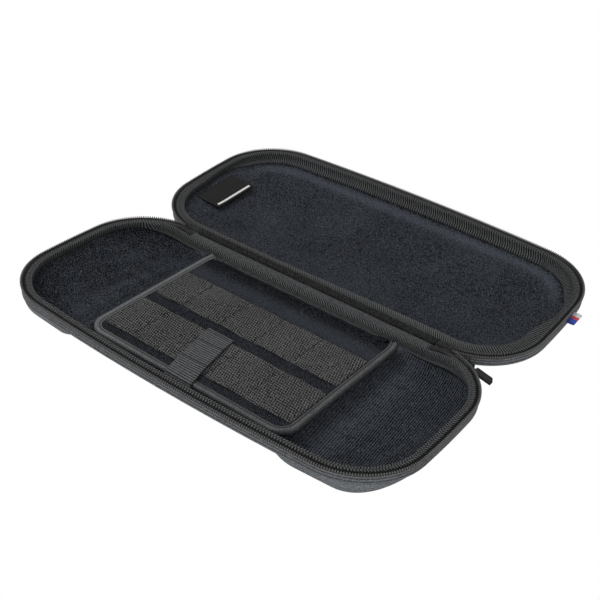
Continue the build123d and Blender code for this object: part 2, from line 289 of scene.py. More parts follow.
class Build:
    """Gathers the sheets and tubes of one piece, in drawn millimetres."""

    def __init__(self):
        self.bm = bmesh.new()
        self.cloth = self.bm.loops.layers.uv.new("Cloth")
        self.verts, self.points, self.uv = [], [], []

    def grid(self, points, uv=None, caps=False):
        """A sheet of rows and columns; caps close the first and last row of a tube."""
        n, m = points.shape[:2]
        verts = bmesh.ops.create_grid(self.bm, x_segments=m - 1, y_segments=n - 1)["verts"]
        flat = points.reshape(-1, 3)
        for vert, place in zip(verts, flat):
            vert.co = place
        self.verts += verts
        self.points.append(flat)
        self.uv.append(np.zeros((n * m, 2)) if uv is None else uv.reshape(-1, 2))
        if caps:
            self.bm.faces.new(verts[:m - 1])
            self.bm.faces.new(verts[-m:-1])

    def slab(self, top, bottom, uv=None):
        """A sheet with thickness: two grids and the wall between their edges."""
        self.grid(top, uv)
        self.grid(bottom, uv)
        bmesh.ops.bridge_loops(self.bm, edges=[e for e in self.bm.edges if e.is_boundary])

    def piece(self, name, material, body, slot, replaces=(), lid=False, weld=False):
        """The finished piece, in the frame's metres."""
        points = np.concatenate(self.points)
        places = row(to_lid(points) if lid else points)
        for vert, place, cloth in zip(self.verts, places, np.concatenate(self.uv)):
            vert.co = place
            for corner in vert.link_loops:
                corner[self.cloth].uv = cloth
        if weld:
            bmesh.ops.remove_doubles(self.bm, verts=self.bm.verts, dist=1e-6)
        self.bm.normal_update()
        bmesh.ops.recalc_face_normals(self.bm, faces=self.bm.faces)
        mesh = bpy.data.meshes.new(name)
        self.bm.to_mesh(mesh)
        self.bm.free()
        mesh.polygons.foreach_set("use_smooth", np.ones(len(mesh.polygons), bool))
        return shown(name, mesh, material, body, replaces)


# Place along a stitch, share of its thickness, and lift over the cloth
STITCH_RINGS = ((0, 0.35, -0.35), (0.2, 0.9, -0.05), (0.5, 1, 0.02), (0.8, 0.9, -0.05), (1, 0.35, -0.35))


def stitch(build, a, b, size):
    """One visible loop of thread from a to b."""
    a, b = np.asarray(a, float), np.asarray(b, float)
    forward = (b - a) / np.linalg.norm(b - a)
    side = np.cross(UP, forward)
    turn = np.linspace(0, 2 * math.pi, 7)[:, None]
    circle = np.cos(turn) * side + np.sin(turn) * UP
    rings = [a + (b - a) * t + UP * lift + size * share * circle for t, share, lift in STITCH_RINGS]
    build.grid(np.array(rings), caps=True)


# Materials

def add_node(tree, kind, settings, inputs):
    """A shader node: its settings first, then the value or link of each input."""
    node = tree.nodes.new(f"ShaderNode{kind}")
    for name, value in settings.items():
        setattr(node, name, value)
    for name, value in inputs.items():
        if isinstance(value, Field):
            value = value.socket
        if isinstance(value, bpy.types.NodeSocket):
            tree.links.new(value, node.inputs[name])
        else:
            node.inputs[name].default_value = value
    return node


class Field:
    """One shader value that takes part in plain arithmetic."""

    def __init__(self, tree, socket):
        self.tree, self.socket = tree, socket

    def result(self, operation, *values):
        node = add_node(self.tree, "Math", {"operation": operation}, dict(enumerate(values)))
        return Field(self.tree, node.outputs[0])

    def __add__(self, other):
        return self.result("ADD", self, other)

    def __radd__(self, other):
        return self.result("ADD", other, self)

    def __sub__(self, other):
        return self.result("SUBTRACT", self, other)

    def __rsub__(self, other):
        return self.result("SUBTRACT", other, self)

    def __mul__(self, other):
        return self.result("MULTIPLY", self, other)

    def __rmul__(self, other):
        return self.result("MULTIPLY", other, self)

    def __neg__(self):
        return self.result("MULTIPLY", self, -1)

    def __abs__(self):
        return self.result("ABSOLUTE", self)

    def sine(self, pitch=1.0):
        """A wave from 0 to 1, once in every pitch."""
        return self.result("SINE", self * (2 * math.pi / pitch)) * 0.5 + 0.5

    def step(self, low, high):
        """0 below low, 1 above high, smooth between."""
        settings = {"interpolation_type": "SMOOTHSTEP"}
        node = add_node(self.tree, "MapRange", settings, {"Value": self, "From Min": low, "From Max": high})
        return Field(self.tree, node.outputs["Result"])

    def between(self, low, high, soft):
        """1 from low to high and 0 outside, with soft edges."""
        return self.step(low - soft, low + soft) * (1 - self.step(high - soft, high + soft))


class Cloth:
    """One material and the coordinates its weave is drawn from."""

    def __init__(self, name, roughness, specular):
        self.material = bpy.data.materials.new(name)
        self.material.use_nodes = True
        self.tree = self.material.node_tree
        self.shader = self.tree.nodes["Principled BSDF"]
        self.set("Roughness", roughness)
        self.set("Specular IOR Level", specular)

    def set(self, name, value):
        self.shader.inputs[name].default_value = value

    def link(self, name, socket):
        self.tree.links.new(socket, self.shader.inputs[name])

    def split(self, vector):
        node = add_node(self.tree, "SeparateXYZ", {}, {"Vector": vector})
        return [Field(self.tree, out) for out in node.outputs]

    def uv(self):
        """The piece's own two cloth coordinates."""
        node = add_node(self.tree, "UVMap", {"uv_map": "Cloth"}, {})
        u, v, _ = self.split(node.outputs["UV"])
        return u, v

    def place(self):
        """Millimetres in the frame."""
        node = add_node(self.tree, "TexCoord", {}, {})
        return [part * 1000 for part in self.split(node.outputs["Object"])]

    def noise(self, size, detail):
        """Random grain with spots of about the given size in millimetres."""
        source = add_node(self.tree, "TexCoord", {}, {})
        inputs = {"Vector": source.outputs["Object"], "Scale": 1000 / size, "Detail": detail}
        return Field(self.tree, add_node(self.tree, "TexNoise", {}, inputs).outputs["Fac"])

    def mix(self, factor, a, b):
        node = add_node(self.tree, "Mix", {"data_type": "RGBA"}, {"Factor": factor, "A": a, "B": b})
        self.link("Base Color", node.outputs["Result"])

    def colour(self, shade, dark, light):
        """Base colour from dark to light."""
        self.mix(shade, (*dark, 1), (*light, 1))

    def tint(self, mask, colour):
        """Lays a colour over what the base colour has, where mask is 1."""
        self.mix(mask, self.shader.inputs["Base Color"].links[0].from_socket, (*colour, 1))

    def relief(self, height, depth):
        """Bumps of the given depth in millimetres."""
        node = add_node(self.tree, "Bump", {}, {"Distance": depth / 1000, "Height": height})
        self.link("Normal", node.outputs["Normal"])

    def rough(self, field, low, high):
        """Roughness from low to high."""
        self.link("Roughness", (field * (high - low) + low).socket)


def grey(value, warm=0.0):
    """A nearly neutral cloth colour, bluish below 0 warm and brownish above."""
    return (value * (1 + warm), value, value * (1 - warm))


def shell_cloth(name, lid, light):
    """Fine woven nylon bonded over moulded foam, pressed into lines along the flange."""
    c = Cloth(name, roughness=0.65, specular=0.3)
    x, y, z = c.place()
    weave = (x + y + z * 0.8).sine(1.3) * 0.5 + (x - y - z * 1.1).sine(1.3) * 0.5
    grain = c.noise(0.9, 3).step(0.3, 0.7)
    if lid:
        cos, sin = lid_turn()
        level = (y - (SHIFT[1] + HINGE_Y)) * sin - (z - (SHIFT[2] + HINGE_UP)) * cos - HINGE_UP
    else:
        level = z - SHIFT[2]
    line = level.sine(2.1) * level.between(-7.6, -1.6, 0.3)
    shade = weave * 0.3 + grain * 0.45 + c.noise(22, 2) * 0.3 - 0.05 - line * 0.5
    c.colour(shade, grey(0.06, -0.06), grey(light, -0.06))
    c.relief(weave * 0.3 + grain * 0.5 - line * 1.4, 0.3)
    return c.material


def fleece(name, light, folded=False):
    """Short-haired lining with a fine grain, stretched into lines over the pull's end.

    U is painted shading: painted highlights on ridges and painted shade in creases. The folded sheet has a
    painted pale band and painted shade beside its hinge.
    """
    c = Cloth(name, roughness=1.0, specular=0.05)
    x, y, _ = c.place()
    fine = c.noise(0.62, 1).step(0.42, 0.66)
    coarse = c.noise(2.0, 2).step(0.3, 0.7)
    front = (-y).step(4, 10)
    stretched = (x + y * 0.12).sine(1.6) * (x.step(70, 92) * front)
    painted_shading, _ = c.uv()
    shade = fine * 0.8 + coarse * 0.12 + c.noise(38, 2) * 0.3 - 0.12 + stretched * 0.7 + painted_shading * 0.4
    # Painted shade towards the right end of the base's right pod
    shade = shade - x.step(84, 104) * front * 0.3
    # Painted pale band and painted shade beside the flap's hinge
    if folded:
        depth = y - SHIFT[1]
        shade = shade + depth.between(31, 41, 4) * 0.25 - depth.step(42, 49) * 0.25
    c.colour(shade, (0.0035, 0.004, 0.005), (0.89 * light, light, 1.2 * light))
    c.relief(fine * 0.9 + coarse * 0.5 + stretched * 0.8, 0.6)
    return c.material


def ribbed_tape(name, dark, light, depth=0.3):
    """Woven tape with one rib for each unit of U, darker where V is above 0 and paler below it; on the bindings
    and the hinge cloth V carries painted shade and light.
    """
    c = Cloth(name, roughness=0.8, specular=0.2)
    u, v = c.uv()
    rib = u.sine().step(0.2, 0.8)
    grain = c.noise(0.9, 2).step(0.35, 0.65)
    c.colour(rib * 0.85 + grain * 0.4 - 0.13 - v, dark, light)
    c.relief(rib + grain * 0.3, depth)
    return c.material


def coil_plastic():
    """Black plastic of the zip's coil, with a painted highlight where V is above 0, at the teeth's tips."""
    c = Cloth("zip_coil", roughness=0.34, specular=0.5)
    grain = c.noise(1.6, 2)
    _, tip = c.uv()
    # Painted glints: the teeth's tips are paler
    c.colour(tip * 0.8 + grain * 0.2, grey(0.002), grey(0.16))
    c.rough(grain, 0.28, 0.5)
    c.relief(grain, 0.05)
    return c.material


def elastic():
    """Elastic woven with rows of small dots, darker along the seams between the pockets."""
    c = Cloth("elastic_band", roughness=0.9, specular=0.15)
    u, v = c.uv()
    rib = (v + u * 0.05).sine(1.9).step(0.15, 0.85)
    cross = (u + v * 0.35).sine(1.65).step(0.15, 0.85)
    grain = c.noise(0.8, 1).step(0.4, 0.62)
    shade = rib * 0.25 + cross * 0.3 + rib * cross * 0.2 + grain * 0.55 + c.noise(30, 2) * 0.3 - 0.36
    for at in POCKET_SEAMS:
        shade = shade - u.between(at - 0.4, at + 0.4, 0.3) * 0.25
    c.colour(shade, grey(0.001), grey(0.175))
    c.relief(rib * 0.6 + cross * 0.6 + grain * 0.4, 0.4)
    return c.material


def satin():
    """Smooth binding tape with fine long threads and a dark sewn line, with a painted sheen that makes it paler
    at the left.
    """
    c = Cloth("flap_binding", roughness=0.5, specular=0.35)
    u, v = c.uv()
    x, _, _ = c.place()
    thread = (v + u * 0.12).sine(0.5)
    pick = u.sine(1.7)
    grain = c.noise(1.0, 3).step(0.3, 0.7)
    # Painted sheen: the binding is paler towards the left
    left = (-x).step(20, 66)
    shade = thread * 0.2 + pick * 0.3 + grain * 0.4 + c.noise(14, 2) * 0.4 - 0.16 + left * 0.3
    c.colour(shade, grey(0.012), grey(0.16, -0.03))
    c.tint(v.between(0.9, 2.0, 0.25) * 0.85, grey(0.004))
    c.relief(thread * 0.4 + pick * 0.4 + grain * 0.4, 0.16)
    return c.material


def grosgrain():
    """Ribbon with strong ribs over its width and two sewn lines."""
    c = Cloth("grosgrain_tab", roughness=0.7, specular=0.25)
    u, v = c.uv()
    rib = u.sine(1.8).step(0.1, 0.9)
    thread = v.sine(1.7)
    grain = c.noise(0.8, 1).step(0.38, 0.64)
    sewn = u.between(12.4, 13.2, 0.3) + u.between(30.4, 31.2, 0.3)
    shade = rib * 0.65 + thread * 0.2 + grain * 0.3 - 0.1 - sewn * 0.5
    c.colour(shade, grey(0.002, -0.04), grey(0.16, -0.04))
    c.relief(rib + thread * 0.2, 0.4)
    return c.material


def sewing_thread():
    c = Cloth("thread", roughness=0.6, specular=0.3)
    grain = c.noise(0.5, 2)
    c.colour(grain, grey(0.03), grey(0.11))
    c.relief(grain, 0.1)
    return c.material


def label_weave():
    """Black satin label with one pale woven stripe near its free edge."""
    c = Cloth("woven_label", roughness=0.6, specular=0.2)
    u, v = c.uv()
    thread = (u + v).sine(0.6)
    grain = c.noise(0.9, 3)
    c.colour(thread * 0.3 + grain * 0.7, grey(0.003, 0.03), grey(0.014, 0.03))
    stripe = v.between(17.4, 19.2, 0.12) * u.between(2.6, LABEL_LENGTH - 1.0, 0.2)
    c.tint(stripe * (thread * 0.15 + 0.85), (0.78, 0.78, 0.76))
    c.relief(thread * 0.5 + grain * 0.3 + stripe * 0.5, 0.14)
    return c.material


def striped_ribbon():
    """Ribbon with blue, red and white stripes."""
    c = Cloth("striped_ribbon", roughness=0.55, specular=0.35)
    c.set("Sheen Weight", 0.1)
    c.set("Sheen Roughness", 0.45)
    u, v = c.uv()
    thread = v.sine(0.6)
    c.colour(thread, (0.02, 0.05, 0.36), (0.03, 0.09, 0.55))
    c.tint(u.step(4.3, 4.7), (0.6, 0.05, 0.08))
    c.tint(u.step(7.3, 7.7), (0.74, 0.75, 0.77))
    c.relief(thread, 0.15)
    return c.material


def enamel():
    """Black enamel of the slider."""
    c = Cloth("slider_metal", roughness=0.4, specular=0.3)
    grain = c.noise(3.0, 3)
    c.colour(grain, grey(0.004), grey(0.014))
    c.rough(grain, 0.35, 0.55)
    c.relief(grain, 0.04)
    return c.material


def strap_rubber():
    """Smooth black strap with two pressed lines along it."""
    c = Cloth("pull_rubber", roughness=0.55, specular=0.3)
    _, y, _ = c.place()
    line = abs(y - (SHIFT[1] + HINGE_Y)).between(1.25, 1.75, 0.15)
    grain = c.noise(1.0, 3)
    c.colour(grain - line * 0.5, grey(0.004), grey(0.022))
    c.relief(grain * 0.25 - line, 0.25)
    return c.material


def board_plastic():
    """Stiff sheet inside the flap."""
    c = Cloth("flap_board", roughness=0.6, specular=0.3)
    grain = c.noise(1.5, 3)
    c.colour(grain, grey(0.02), grey(0.05))
    c.relief(grain, 0.08)
    return c.material


MATERIAL = {
    "base_shell": shell_cloth("shell_cloth", False, 0.39),
    # The lid's shell cloth is paler than the base's: painted light
    "lid_shell": shell_cloth("lid_shell_cloth", True, 0.44),
    "fleece": fleece("lining_fleece", 0.125),
    # A darker copy of the lining for the flap: painted shade
    "shaded_flap_fleece": fleece("shaded_flap_fleece", 0.08, folded=True),
    "tape": ribbed_tape("zip_tape", grey(0.002), grey(0.115, -0.03)),
    "tail": ribbed_tape("zip_tail", grey(0.004), grey(0.02)),
    "binding": ribbed_tape("rim_binding", grey(0.001), grey(0.125, -0.03), depth=0.5),
    "hinge": ribbed_tape("hinge_cloth", grey(0.001), grey(0.165, -0.03), depth=0.45),
    "coil": coil_plastic(),
    "band": elastic(),
    "satin": satin(),
    "tab": grosgrain(),
    "thread": sewing_thread(),
    "label": label_weave(),
    "ribbon": striped_ribbon(),
    "enamel": enamel(),
    "pull": strap_rubber(),
    "flap_board": board_plastic(),
}


# Rim, zip and lining

# Pitch and slant of the ribs on the zipped sides, and beside the hinge on each half
SIDE_RIBS, BASE_HINGE_RIBS, LID_HINGE_RIBS = (1.9, 0.3), (2.1, -2.6), (1.5, 1.9)

# Painted shade and painted light on the bindings beside the hinge, point by point round their sections; above 0
# darker, below 0 paler
BASE_HINGE_SHADING = (-0.15, -0.15, -0.1, 0, 0.15, 0.3, 0.2, -0.7, -0.8, 0.1, 0.3, 0)
LID_HINGE_SHADING = (0.2, 0.15, 0.05, -0.1, -0.3, -0.45, 0, 0.2, 0.3, 0.3, 0.3, 0.2)


def rim_tube(name, section, start, end, material, body, slot, node, lid, hinge_shading=None):
    """Tape with a closed section carried along the rim. Section gives insets and heights at each place.

    When given, the last argument paints shade and light onto the points of the section beside the hinge.
    Without it the tape darkens towards the coil.
    """
    w, s = stations(start, end, 1.6)
    edge = plan(0, w)
    inward = (plan(8, w) - edge) / 8
    insets, heights = np.broadcast_arrays(*section(edge[:, 0], edge[:, 1], s))
    flat = edge[:, None] + inward[:, None] * insets[..., None]
    points = np.concatenate((flat, heights[..., None]), -1)
    across = along(points[len(points) // 2])
    near = ease((148 - from_hinge(s)) / 40)
    pitch, slant = mixed(SIDE_RIBS, LID_HINGE_RIBS if lid else BASE_HINGE_RIBS, near).T
    ribs = np.concatenate(((0,), np.cumsum(np.diff(s) / pitch[1:])))
    u = ribs[:, None] + (slant / pitch)[:, None] * across
    if hinge_shading is None:
        zipped = ease((from_hinge(s) - ZIP_START + 6) / 10)[:, None]
        v = zipped * np.clip((across - 2.3) / 0.8, 0, 1) + (1 - zipped) * 0.45
    else:
        # Painted shade and light beside the hinge; away from it the lid's binding is painted a little darker
        # and the base's a little paler
        v = near[:, None] * np.array(hinge_shading) + (1 - near[:, None]) * (0.1 if lid else -0.05)
    build = Build()
    build.grid(points, spread(u, v), caps=True)
    build.piece(name, material, body, slot, (node,), lid)


def tape_section(x, y, s):
    """Flat tape under the coil, which reaches further out on the ramps beside the hinge."""
    insets = np.array((4.75, 4.9, 4.4, 3.4, 2.2, 1.5, 1.1, 1.1, 4.75))
    outward = np.array((0, 0, 0, 0, 0.4, 0.8, 1.1, 1.1, 0))
    rise = np.array((-0.75, -0.1, 0.02, 0.1, 0.06, -0.05, -0.3, -0.95, -0.75))
    ramp = 1 - ease((from_hinge(s) - ZIP_START + 2) / 6)
    top = np.minimum(TAPE_TOP, relief(x, y) + 1) + ripple(s, 26, 3) * 0.05
    return insets - ramp[:, None] * outward, top[:, None] + rise


def lid_tape_section(x, y, s):
    """The same tape on the lid, whose rim isn't cut along the hinge."""
    return tape_section(x, y * 0, s)


# Round the folded tape on the zipped sides: insets, and share of the height from the ledge to the top
SIDE_INSETS = np.array((4.85, 5.1, 5.7, 6.35, 6.7, 6.85, 6.85, 6.75, 6.4, 5.6, 4.9, 4.85))
SIDE_SHARE = np.array((0.92, 1, 1, 1, 0.9, 0.66, 0.4, 0.16, 0, 0, 0.05, 0.92))


def base_binding_section(x, y, s):
    """Folded tape on the zipped sides that broadens on the slope in front of the hinge."""
    behind = ease((150 - from_hinge(s)) / 48)
    top = np.minimum(TAPE_TOP, relief(x, y))
    side = LEDGE + (top - LEDGE)[:, None] * SIDE_SHARE
    insets = mixed(SIDE_INSETS, (4.85, 5.1, 5.7, 6.6, 7.9, 9.2, 10.5, 11.2, 11.3, 10.6, 6.0, 4.85), behind)
    slope = np.array((-4.75, -4.35, -4.45, -4.95, -5.75, -6.55, -7.35, -7.9, -8.35, -8.6, -5.9, -4.75))
    behind = behind[:, None]
    pod = ease((np.abs(x - 0.5) - 58) / 18)[:, None]
    insets = insets - behind * pod * np.clip(insets - 6.6, 0, None) * 0.45
    slope = slope + pod * np.clip(slope + 5.0, -9, 0) * 0.55
    slope = slope + np.clip(top - BACK_RIM, 0, None)[:, None] * np.linspace(1, 0.2, 12)
    heights = side * (1 - behind) + slope * behind
    return insets, heights + 0.06 * ripple(s, 23, 9)[:, None]


def lid_binding_section(x, y, s):
    """Folded tape, flat and broad beside the hinge, more so towards +X, and broad again on the far slope."""
    near, far = ease((y + 8) / 30)[:, None], ease((-y - 8) / 30)[:, None]
    wide = near * (2.2 + 3.3 * ease((x + 60) / 150))[:, None]
    side = LEDGE + (TAPE_TOP - LEDGE) * SIDE_SHARE
    flat = np.array((-1.4, -1.15, -1.0, -1.0, -1.1, -1.5, -2.6, -4.4, -6.3, -6.6, -4.6, -1.4))
    near_reach = np.array((0, 0, 0.12, 0.45, 0.8, 0.95, 1.0, 1.0, 0.95, 0.75, 0.1, 0))
    far_reach = np.array((0, 0, 0, 0, 0, 0.1, 0.7, 2.6, 5.6, 6.3, 0.1, 0))
    far_drop = np.array((0, 0, 0, 0, 0, 0, -2.0, -0.8, -0.9, -1.4, -0.2, 0))
    insets = SIDE_INSETS + wide * near_reach + far * far_reach
    heights = side * (1 - near) + flat * near + far * far_drop
    return insets, heights + 0.06 * ripple(s, 23, 8)[:, None]


# Reach outwards, thickness and painted highlight of the rings that make one tooth
TOOTH_RINGS = np.array(((-0.85, 0.55, 0), (-0.5, 0.95, 0.2), (0.2, 0.9, 0.9), (0.62, 1.12, 1), (0.9, 0.6, 0.5)))

# Inset and height over the rim, round the cord inside the coil
COIL_CORD = ((-0.2, 0.1), (1.4, 0.1), (1.4, 0.8), (-0.2, 0.8), (-0.2, 0.1))


def zip_teeth(name, body, node, lid):
    """Coil of the zip: one rounded loop after another on a cord."""
    build = Build()
    w, _ = stations(ZIP_START, ZIP_END, 1.5)
    ahead, behind = plan(0.3, w + 1e-4), plan(0.3, w - 1e-4)
    tangent = ahead - behind
    tangent /= np.linalg.norm(tangent, axis=1)[:, None]
    turn = np.linspace(0, 2 * math.pi, 9)[:, None]
    uv = spread(0 * turn.T, TOOTH_RINGS[:, 2:])
    for (tx, ty), (x, y) in zip(tangent, (ahead + behind) / 2):
        out = np.array((-ty, tx, 0))
        if out @ (x, y, 0) < 0:
            out = -out
        middle = np.array((x, y, RIM_TOP + 1.12))
        circle = 0.44 * np.cos(turn) * (tx, ty, 0) + 0.8 * np.sin(turn) * UP
        tooth = [middle + out * reach + size * circle for reach, size, _ in TOOTH_RINGS]
        build.grid(np.array(tooth), uv, caps=True)
    w, _ = stations(ZIP_START, ZIP_END, 3.0)
    cord = np.stack([spread(*plan(inset, w).T, RIM_TOP + up) for inset, up in COIL_CORD], 1)
    build.grid(cord, caps=True)
    build.piece(name, MATERIAL["coil"], body, "zip_coil", (node,), lid)


def caster(node, lid):
    """Gives the height of a lining at drawn points, seen from its open side."""
    mesh = nodes[node].data
    points = drawn([v.co for v in mesh.vertices])
    if lid:
        points = from_lid(points)
    tree = BVHTree.FromPolygons([tuple(p) for p in points], [tuple(p.vertices) for p in mesh.polygons])

    def height(x, y):
        hit = tree.ray_cast(Vector((x, y, 8.0)), Vector((0, 0, -1)))
        return hit[0].z if hit[0] else LEDGE
    return height


def worn_soft(cast):
    """Heights smoothed along and across, but kept near to where they were cast."""
    z = cast.copy()
    for _ in range(7):
        smooth = z.copy()
        smooth[:, 1:-1] = (z[:, 2:] + z[:, :-2] + 2 * z[:, 1:-1]) / 4
        ring = smooth[:-1]
        smooth[:-1] = (np.roll(ring, 1, 0) + np.roll(ring, -1, 0) + 2 * ring) / 4
        smooth[-1] = smooth[0]
        z = np.clip(smooth, cast - 0.3, cast + 1.2)
    return z


def lining_sheet(name, node, body, lid):
    """Fleece lying on the moulded hollow, with its creases worn soft.

    U is painted shading: a painted highlight along a ridge and painted shade in a crease on the lid's far
    slope, and painted highlights and shade over the bends in the base.
    """
    height = caster(node, lid)
    w, _ = stations(0, LOOP_S[-1], 2.2)
    outer = plan(5.3, w)
    core = np.stack((np.clip(outer[:, 0] * 0.7, -86, 86), outer[:, 1] * 0), -1)
    share = np.linspace(1, 0, 44)
    reach = np.linalg.norm(outer - core, axis=1)[:, None] * (1 - share)
    flat = core[:, None] + (outer - core)[:, None] * share[None, :, None]
    z = worn_soft(np.array([[height(*p) for p in line] for line in flat]))
    z += 0.12 * waves(flat, 17, 11) * np.clip((1 - share) * 9, 0, 1)
    points = np.concatenate((flat, z[..., None]), -1)
    top = spread(*plan(4.95, w).T, LEDGE + 0.5)
    points = np.concatenate((top[:, None], points), 1)
    points[-1] = points[0]
    # Painted highlight and painted shade on the fleece, carried in U
    painted_shading = np.zeros(points.shape[:2])
    if lid:
        far = ease((-outer[:, 1:] - 15) / 40)
        ridge = np.exp(-((reach - 13.5) / 4.0) ** 2)
        crease = np.exp(-((reach - 6.8) / 1.6) ** 2)
        painted_shading[:, 1:] = 0.9 * far * (ridge - crease)
    else:
        bend = 2 * points[:, 2:-1, 2] - points[:, 1:-2, 2] - points[:, 3:, 2]
        painted_shading[:, 2:-1] = np.clip(bend / reach[:, 1:2] ** 2 / 0.06, -0.25, 0.9)
    build = Build()
    build.grid(points, spread(painted_shading, 0))
    build.piece(name, MATERIAL["fleece"], body, "lining_fleece", (node,), lid, weld=True)


# Y and Z of the hinge cloth over each half's rim and down into the groove
BASE_FOLD = (
    (64.2, -4.9), (64.4, -4.15), (66.0, -3.95), (68.6, -3.95),
    (69.7, -4.3), (70.15, -5.3), (70.2, -7.2), (70.6, -8.2),
)
LID_FOLD = (
    (64.4, -1.75), (64.7, -1.3), (66.5, -1.25), (68.8, -1.35),
    (69.8, -1.9), (70.15, -3.0), (70.5, -4.3),
)


def hinge_cloth():
    """Strip over both hinge rims, folded down between them."""
    base_half, lid_half = rounded(BASE_FOLD, 0.45), rounded(LID_FOLD, 0.45)
    lid_half = to_lid(spread(0, lid_half[:, 0], lid_half[:, 1]))[::-1, 1:]
    loop = thicken(rounded(np.concatenate((base_half, lid_half)), 0.5, 1), 0.7)
    x = np.linspace(-RELIEF_HALF + 0.3, RELIEF_HALF - 0.3, 90)
    points = spread(x[:, None], loop[:, 0], loop[:, 1])
    points[..., 2] += 0.07 * waves(points[..., :1], 31, 5)
    pitch, slant = BASE_HINGE_RIBS
    # Painted shade where the cloth folds down into the groove between the rims
    groove = 0.7 * ease((loop[:, 0] - 69.2) / 1.2)
    build = Build()
    build.grid(points, spread((x[:, None] - slant * along(loop)) / pitch, groove), caps=True)
    cloth = build.piece("hinge_cloth", MATERIAL["hinge"], None, "hinge_cloth", ("hinge_strip",))
    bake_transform(cloth)


def rims():
    """Tapes, bindings, coils and linings of both halves."""
    halves = (
        ("base", False, base_binding_section, tape_section, BASE_HINGE_SHADING),
        ("lid", True, lid_binding_section, lid_tape_section, LID_HINGE_SHADING),
    )
    tape_start = RELIEF_HALF - 0.3
    for half, lid, section, tape, hinge_shading in halves:
        rim_tube(
            f"{half}_woven_tape", tape, tape_start, LOOP_S[-1] - tape_start,
            MATERIAL["tape"], half, "zip_tape", f"{half}_zip_tape", lid,
        )
        rim_tube(
            f"{half}_ribbed_binding", section, 0, LOOP_S[-1],
            MATERIAL["binding"], half, "rim_binding", f"{half}_binding", lid, hinge_shading,
        )
        zip_teeth(f"{half}_zip_teeth", half, f"{half}_zip_coil", lid)
        lining_sheet(f"{half}_fleece", f"{half}_lining", half, lid)


# Card flap

# Inset from the edge and height over the flap's middle, round the folded binding
EDGE_FOLD = np.array((
    (4.0, 1.46), (3.9, 1.72), (3.1, 1.74), (2.5, 1.56), (2.1, 1.7), (1.3, 2.2), (0.4, 2.2),
    (-0.35, 1.6), (-0.6, 0.3), (-0.5, -0.9), (0.1, -1.6), (1.2, -1.78), (3.2, -1.7), (3.9, -1.75),
    (4.0, -1.46), (1.0, -1.46), (0.25, 0), (1.0, 1.46), (4.0, 1.46),
))

# Y and Z along the ribbon tab, from its sewn end to under the flap's front edge
TAB_LINE = (
    (-10.0, TAB_TOP - 0.1), (-12.0, TAB_TOP + 0.1), (-30.0, TAB_TOP + 0.15), (-46.0, TAB_TOP + 0.35),
    (-55.5, TAB_TOP + 0.3), (-58.2, TAB_TOP - 0.3), (-58.5, TAB_TOP - 1.6), (-58.4, -8.2),
)

# Y and Z from the flap's rear edge to the back wall
FLAP_FOLD = ((51.5, -5.05), (53.3, -5.25), (55.2, -6.4), (57.0, -7.7), (58.6, -8.3), (60.0, -8.0))


def flap_edge():
    """Left, front and right edge of the flap, with inward directions and lengths along it."""
    turn = np.linspace(0, math.pi / 2, 12)
    slow, quick = FLAP_R * (1 - np.cos(turn)), FLAP_R * (1 - np.sin(turn))
    path = np.concatenate((
        ((FLAP_LEFT + 1.2, FLAP_REAR + 3.4), (FLAP_LEFT, FLAP_REAR - 3)),
        np.stack((FLAP_LEFT + slow, FLAP_FRONT + quick), -1),
        np.stack((FLAP_RIGHT - quick, FLAP_FRONT + slow), -1),
        ((FLAP_RIGHT, FLAP_REAR - 3), (FLAP_RIGHT - 1.2, FLAP_REAR + 3.4)),
    ))
    s = along(path)
    even = np.linspace(0, s[-1], 170)
    line = np.stack([np.interp(even, s, path[:, k]) for k in (0, 1)], -1)
    d = np.gradient(line, axis=0)
    d /= np.linalg.norm(d, axis=1)[:, None]
    return line, np.stack((-d[:, 1], d[:, 0]), -1), even


def flap_binding():
    """Puffed tape folded over the flap's edges, with its seam."""
    line, inward, s = flap_edge()
    insets, rise = EDGE_FOLD.T
    rear = np.minimum(s, s[-1] - s)
    puff = (1 + 0.06 * ripple(s, 19, 21)) * (1 + 0.4 * np.exp(-(rear / 3.5) ** 2))
    heights = (FLAP_LOW + FLAP_TOP) / 2 + rise * np.where(rise > 1.5, puff[:, None], 1)
    flat = line[:, None] + inward[:, None] * insets[:, None]
    build = Build()
    build.grid(np.concatenate((flat, heights[..., None]), -1), spread(s[:, None], along(EDGE_FOLD)), caps=True)
    build.piece("flap_edge_binding", MATERIAL["satin"], "flap", "flap_binding", ("flap_binding",))
    seam = Build()
    sewn = line + inward * 2.6
    for a in np.arange(3, s[-1] - 3, 2.7):
        ends = [(*(np.interp(t, s, sewn[:, k]) for k in (0, 1)), FLAP_TOP + 0.3) for t in (a, a + 1.8)]
        stitch(seam, *ends, 0.26)
    seam.piece("flap_seam", MATERIAL["thread"], "flap", "flap_binding")


def flap_sheet(name, node, z, up):
    """One fleece face of the flap, with its front corners drawn in."""
    x = np.linspace(FLAP_LEFT + 0.6, FLAP_RIGHT - 0.6, 90)
    y = np.linspace(FLAP_FRONT + 0.6, FLAP_REAR, 66)
    gx, gy = np.meshgrid(x, y, indexing="ij")
    side = np.minimum(gx - x[0], x[-1] - gx)
    near = np.minimum(side, gy - y[0])
    arc = np.sqrt(FLAP_R ** 2 - (FLAP_R - np.clip(side, 0, FLAP_R)) ** 2)
    arc = np.where(gy < FLAP_FRONT + FLAP_R, arc, FLAP_R)
    gy = np.maximum(gy, FLAP_FRONT + 0.6 + FLAP_R - arc)
    rise = 0.12 * ease(near / 12) + 0.08 * waves(np.stack((gx, gy), -1), 21, 31)
    build = Build()
    build.slab(spread(gx, gy, z + up * rise), spread(gx, gy, z - up * 0.5))
    build.piece(name, MATERIAL["shaded_flap_fleece"], "flap", "lining_fleece", (node,))


